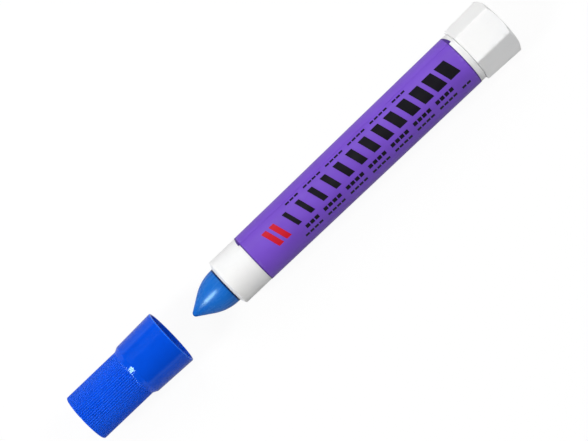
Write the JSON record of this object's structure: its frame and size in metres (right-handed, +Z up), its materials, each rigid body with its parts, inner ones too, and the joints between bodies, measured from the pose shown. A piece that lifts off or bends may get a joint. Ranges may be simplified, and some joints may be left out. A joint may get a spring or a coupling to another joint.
{
  "type": "solid paint marker",
  "caption": "Solid paint marker: a bullet-tipped stick that a hexagonal knob screws out of a tapered, labelled barrel, with a stepped, finely ribbed cap lying pulled off in line.",
  "frame": {"origin": "on the table, under the middle of the whole marker with its cap lying pulled off in line", "axes": "+X along the marker from the tip towards the knob, +Z up, one flat of the knob facing up"},
  "size_m": [0.1786, 0.0212, 0.0199],
  "materials": {
    "cap_plastic": "glossy moulded blue plastic",
    "solid_paint": "waxy blue solid paint",
    "barrel_plastic": "satin white moulded plastic",
    "label_film": "glossy violet printed film",
    "inner_plastic": "natural white moulded plastic",
    "knob_plastic": "satin white moulded plastic"
  },
  "bodies": {
    "barrel": {"barrel": "barrel_plastic", "label": "label_film", "end_plug": "inner_plastic"},
    "feed_knob": {"knob": "knob_plastic", "feed_screw": "inner_plastic"},
    "paint": {"paint_stick": "solid_paint", "stick_holder": "inner_plastic"},
    "cap": {"cap": "cap_plastic"}
  },
  "joints": [
    {"name": "knob_turn", "type": "hinge", "parent": "barrel", "child": "feed_knob", "pos_m": [0.08171, 0, 0.00995], "axis": [-1, 0, 0], "range_deg": [-1350, 630]},
    {"name": "paint_feed", "type": "slide", "parent": "barrel", "child": "paint", "axis": [-1, 0, 0], "range_m": [-0.015, 0.007]},
    {"name": "cap_pull", "type": "slide", "parent": "barrel", "child": "cap", "axis": [1, 0, 0], "range_m": [0, 0.03655]}
  ],
  "couplings": [
    {"joint": "paint_feed", "follows": "knob_turn", "m_per_rad": 0.00063662}
  ]
}
